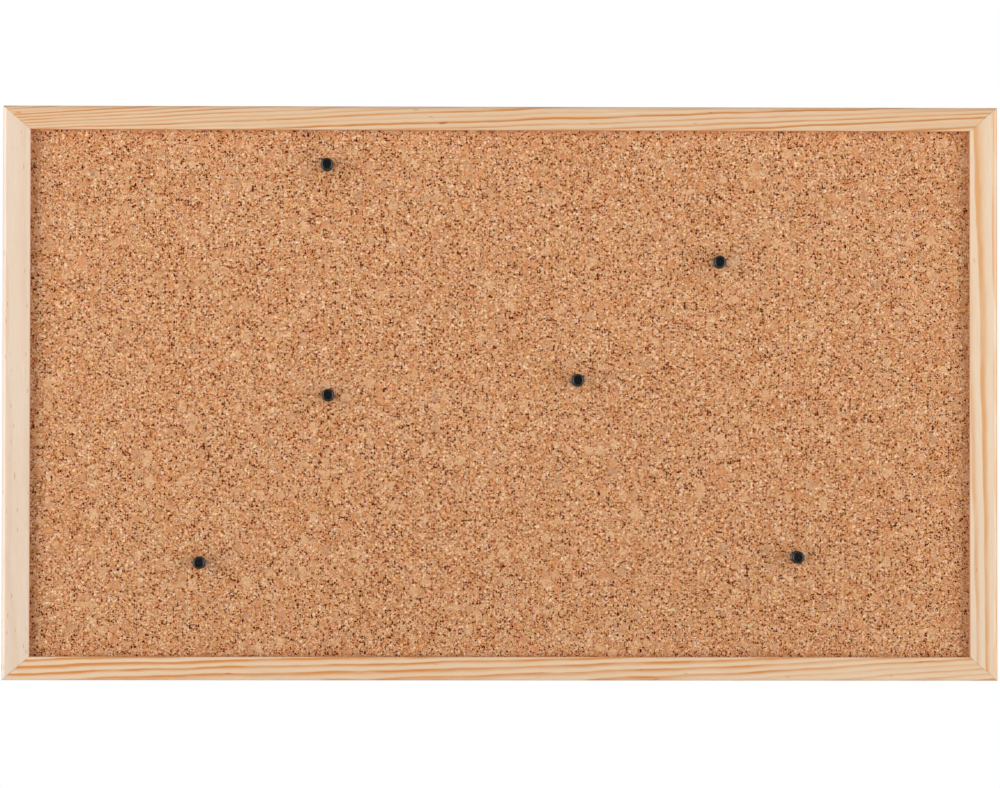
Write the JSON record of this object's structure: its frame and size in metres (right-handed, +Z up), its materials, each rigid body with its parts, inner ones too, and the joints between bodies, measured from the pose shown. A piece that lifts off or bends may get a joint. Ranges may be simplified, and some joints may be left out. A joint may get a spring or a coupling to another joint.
{
  "type": "cork notice board",
  "caption": "Landscape cork notice board in a mitred pine frame, with push pins that pull out of the cork and ring hangers that swing on the back.",
  "frame": {"origin": "middle of the board, on the plane of the frame's back, which faces the wall", "axes": "+X to the right seen from the front, +Y from the front towards the wall, +Z up"},
  "size_m": [0.6, 0.0284, 0.346],
  "materials": {
    "pine_rail": "natural pine, thin matt varnish, grain along the rail",
    "pine_stile": "natural pine, thin matt varnish, grain along the stile",
    "cork": "fine-grained cork agglomerate, bare",
    "fibreboard": "soft wood-fibre board, bare",
    "zinc_steel": "bright zinc-plated steel",
    "needle_steel": "polished nickel-plated steel",
    "black_plastic": "glossy moulded black"
  },
  "bodies": {
    "board": {"frame_top_rail": "pine_rail", "frame_bottom_rail": "pine_rail", "frame_left_stile": "pine_stile", "frame_right_stile": "pine_stile", "cork_sheet": "cork", "backing_board": "fibreboard", "corner_nail_top_left": "zinc_steel", "corner_nail_top_right": "zinc_steel", "corner_nail_bottom_left": "zinc_steel", "corner_nail_bottom_right": "zinc_steel", "panel_point_top_1": "zinc_steel", "panel_point_top_2": "zinc_steel", "panel_point_top_3": "zinc_steel", "panel_point_bottom_1": "zinc_steel", "panel_point_bottom_2": "zinc_steel", "panel_point_bottom_3": "zinc_steel", "panel_point_left_1": "zinc_steel", "panel_point_left_2": "zinc_steel", "panel_point_right_1": "zinc_steel", "panel_point_right_2": "zinc_steel", "hanger_strap_left": "zinc_steel", "hanger_strap_right": "zinc_steel", "hanger_screw_left": "zinc_steel", "hanger_screw_right": "zinc_steel"},
    "left_ring": {"hanger_ring_left": "zinc_steel"},
    "right_ring": {"hanger_ring_right": "zinc_steel"},
    "pin_1": {"pin_1_head": "black_plastic", "pin_1_needle": "needle_steel"},
    "pin_2": {"pin_2_head": "black_plastic", "pin_2_needle": "needle_steel"},
    "pin_3": {"pin_3_head": "black_plastic", "pin_3_needle": "needle_steel"},
    "pin_4": {"pin_4_head": "black_plastic", "pin_4_needle": "needle_steel"},
    "pin_5": {"pin_5_head": "black_plastic", "pin_5_needle": "needle_steel"},
    "pin_6": {"pin_6_head": "black_plastic", "pin_6_needle": "needle_steel"}
  },
  "joints": [
    {"name": "left_ring_swing", "type": "hinge", "parent": "board", "child": "left_ring", "pos_m": [-0.2942, 0.00205, 0.111], "axis": [-1, 0, 0], "range_deg": [0, 185]},
    {"name": "right_ring_swing", "type": "hinge", "parent": "board", "child": "right_ring", "pos_m": [0.2942, 0.00205, 0.111], "axis": [-1, 0, 0], "range_deg": [0, 185]},
    {"name": "pin_1_pull", "type": "slide", "parent": "board", "child": "pin_1", "axis": [0, -1, 0], "range_m": [0, 0.012]},
    {"name": "pin_2_pull", "type": "slide", "parent": "board", "child": "pin_2", "axis": [0, -1, 0], "range_m": [0, 0.012]},
    {"name": "pin_3_pull", "type": "slide", "parent": "board", "child": "pin_3", "axis": [0, -1, 0], "range_m": [0, 0.012]},
    {"name": "pin_4_pull", "type": "slide", "parent": "board", "child": "pin_4", "axis": [0, -1, 0], "range_m": [0, 0.012]},
    {"name": "pin_5_pull", "type": "slide", "parent": "board", "child": "pin_5", "axis": [0, -1, 0], "range_m": [0, 0.012]},
    {"name": "pin_6_pull", "type": "slide", "parent": "board", "child": "pin_6", "axis": [0, -1, 0], "range_m": [0, 0.012]}
  ]
}
